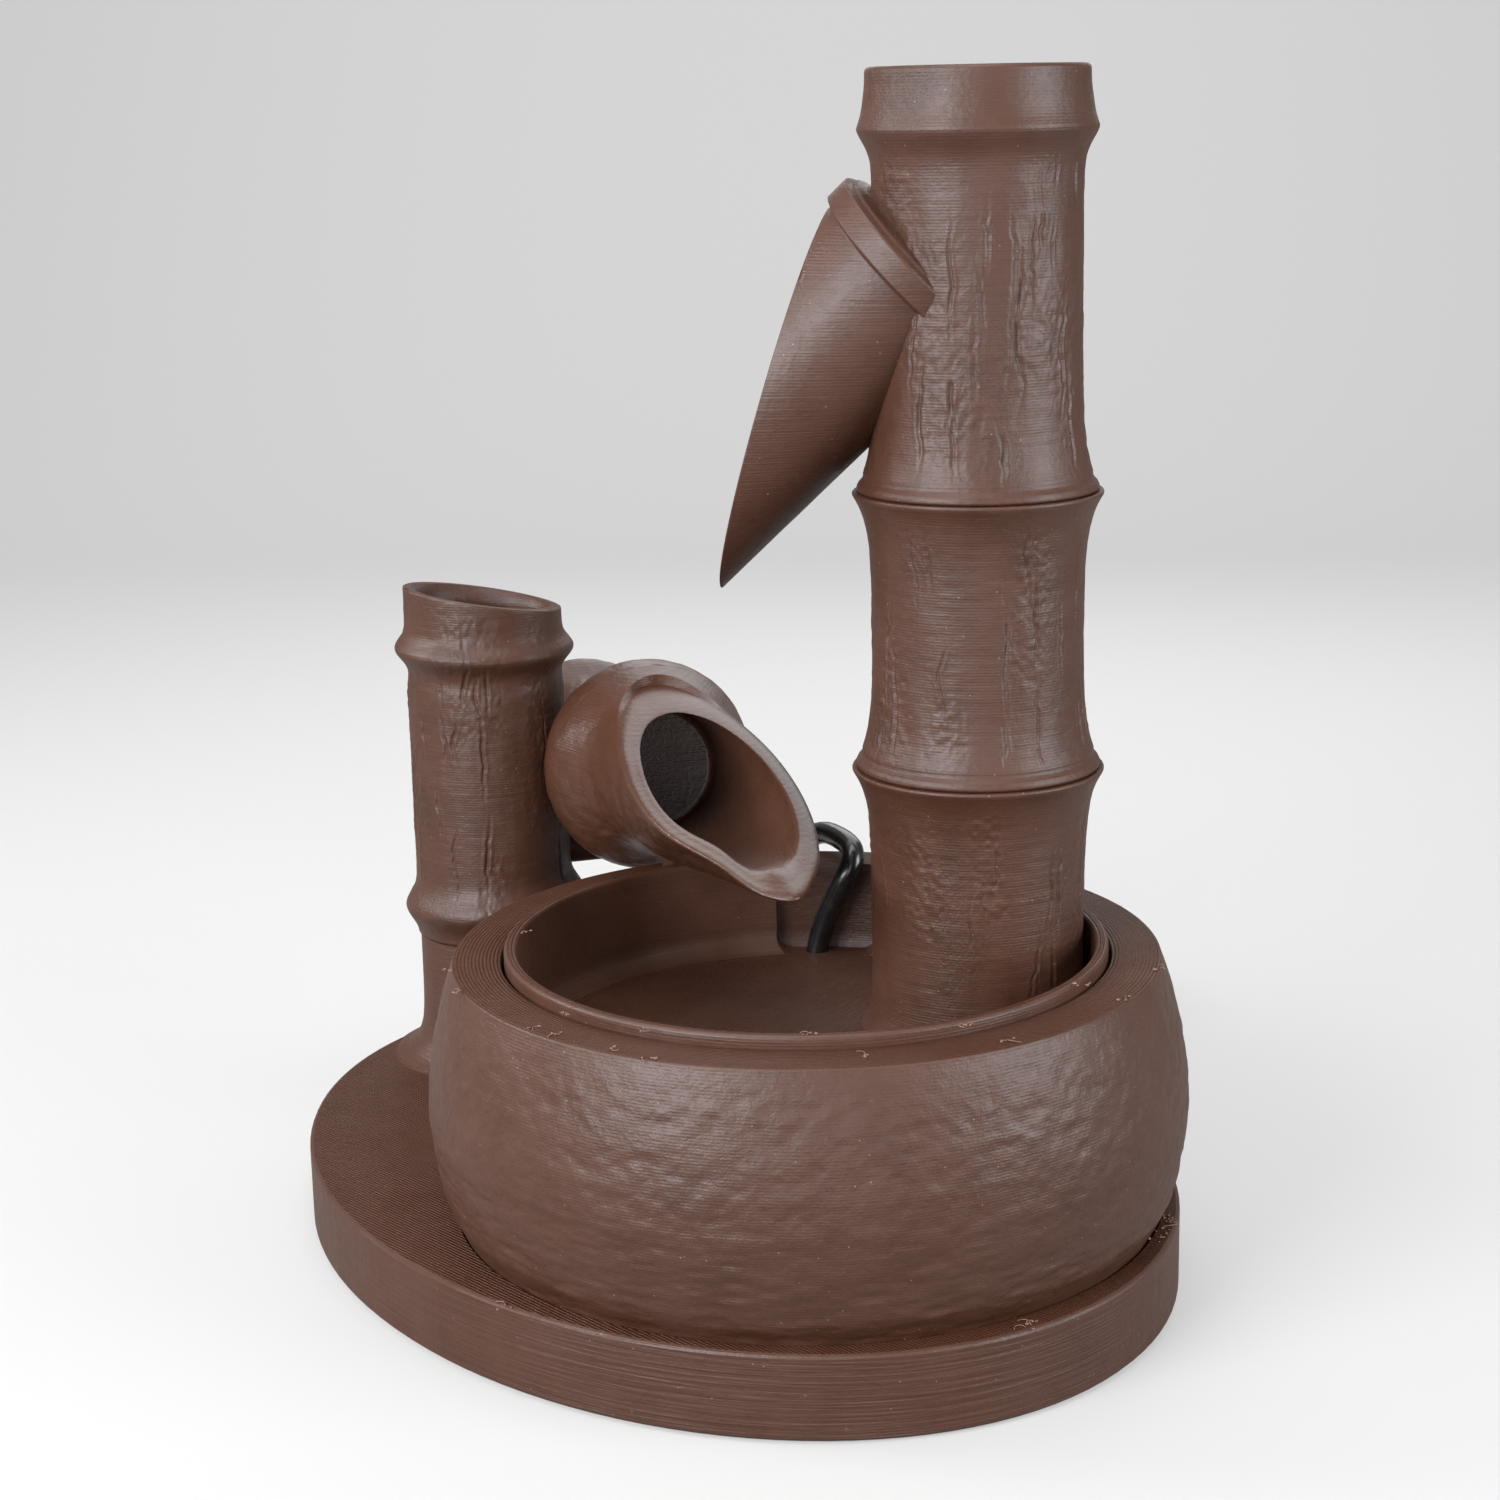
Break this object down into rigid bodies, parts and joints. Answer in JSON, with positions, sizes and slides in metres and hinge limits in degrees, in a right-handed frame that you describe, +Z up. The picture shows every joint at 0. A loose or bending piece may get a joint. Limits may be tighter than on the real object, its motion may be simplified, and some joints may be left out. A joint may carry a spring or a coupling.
{
  "type": "shishi odoshi",
  "caption": "Desk-top bamboo fountain with a round bowl on an oval base, a tall spout column, and a tipping bamboo tube on a side post, fed by a hidden pump.",
  "frame": {"origin": "on the table, under the bowl's axis", "axes": "+Z up, -Y towards the viewer, +X to the viewer's right, where the column stands"},
  "size_m": [0.1561, 0.2714, 0.192],
  "materials": {
    "brown_print": "satin chocolate-brown layered plastic",
    "steel": "plain steel",
    "clear_plastic": "white plastic",
    "black_plastic": "black moulded plastic",
    "clear_hose": "milky soft hose",
    "foam": "dark open foam",
    "magnet": "dark moulded rotor",
    "black_rubber": "black rubber",
    "cable_black": "glossy black cable sheath"
  },
  "bodies": {
    "base": {"base_plate": "brown_print", "post": "brown_print", "axle_pin": "steel", "axle_washer": "clear_plastic", "axle_cap": "black_plastic", "bowl": "brown_print", "tray": "brown_print", "hose": "clear_hose", "pump_housing": "black_plastic", "pump_cover": "black_plastic", "intake_foam": "foam", "rotor_shaft": "steel", "suction_feet": "black_rubber", "cable_gland": "black_rubber", "cord": "cable_black", "cord_coil": "cable_black", "coil_tie": "black_plastic", "plug_grip": "cable_black", "plug_shell": "steel", "plug_tongue": "clear_plastic"},
    "tube": {"tipping_tube": "brown_print", "tail_weight": "steel", "tail_plug": "brown_print"},
    "middle_section": {"column_middle": "brown_print"},
    "top_section": {"column_top": "brown_print"},
    "pump_rotor": {"rotor": "magnet"}
  },
  "joints": [
    {"name": "tube_tip", "type": "hinge", "parent": "base", "child": "tube", "pos_m": [-0.03414, 0.07925, 0.0678], "axis": [-0.9483, -0.3173, 0], "range_deg": [0, 11]},
    {"name": "middle_lift", "type": "slide", "parent": "base", "child": "middle_section", "axis": [0, 0, 1], "range_m": [0, 0.07]},
    {"name": "top_lift", "type": "slide", "parent": "middle_section", "child": "top_section", "axis": [0, 0, 1], "range_m": [0, 0.03]},
    {"name": "rotor_spin", "type": "hinge", "parent": "base", "child": "pump_rotor", "pos_m": [0.028, 0.007, 0.0254], "axis": [1, 0, 0], "continuous": true}
  ]
}
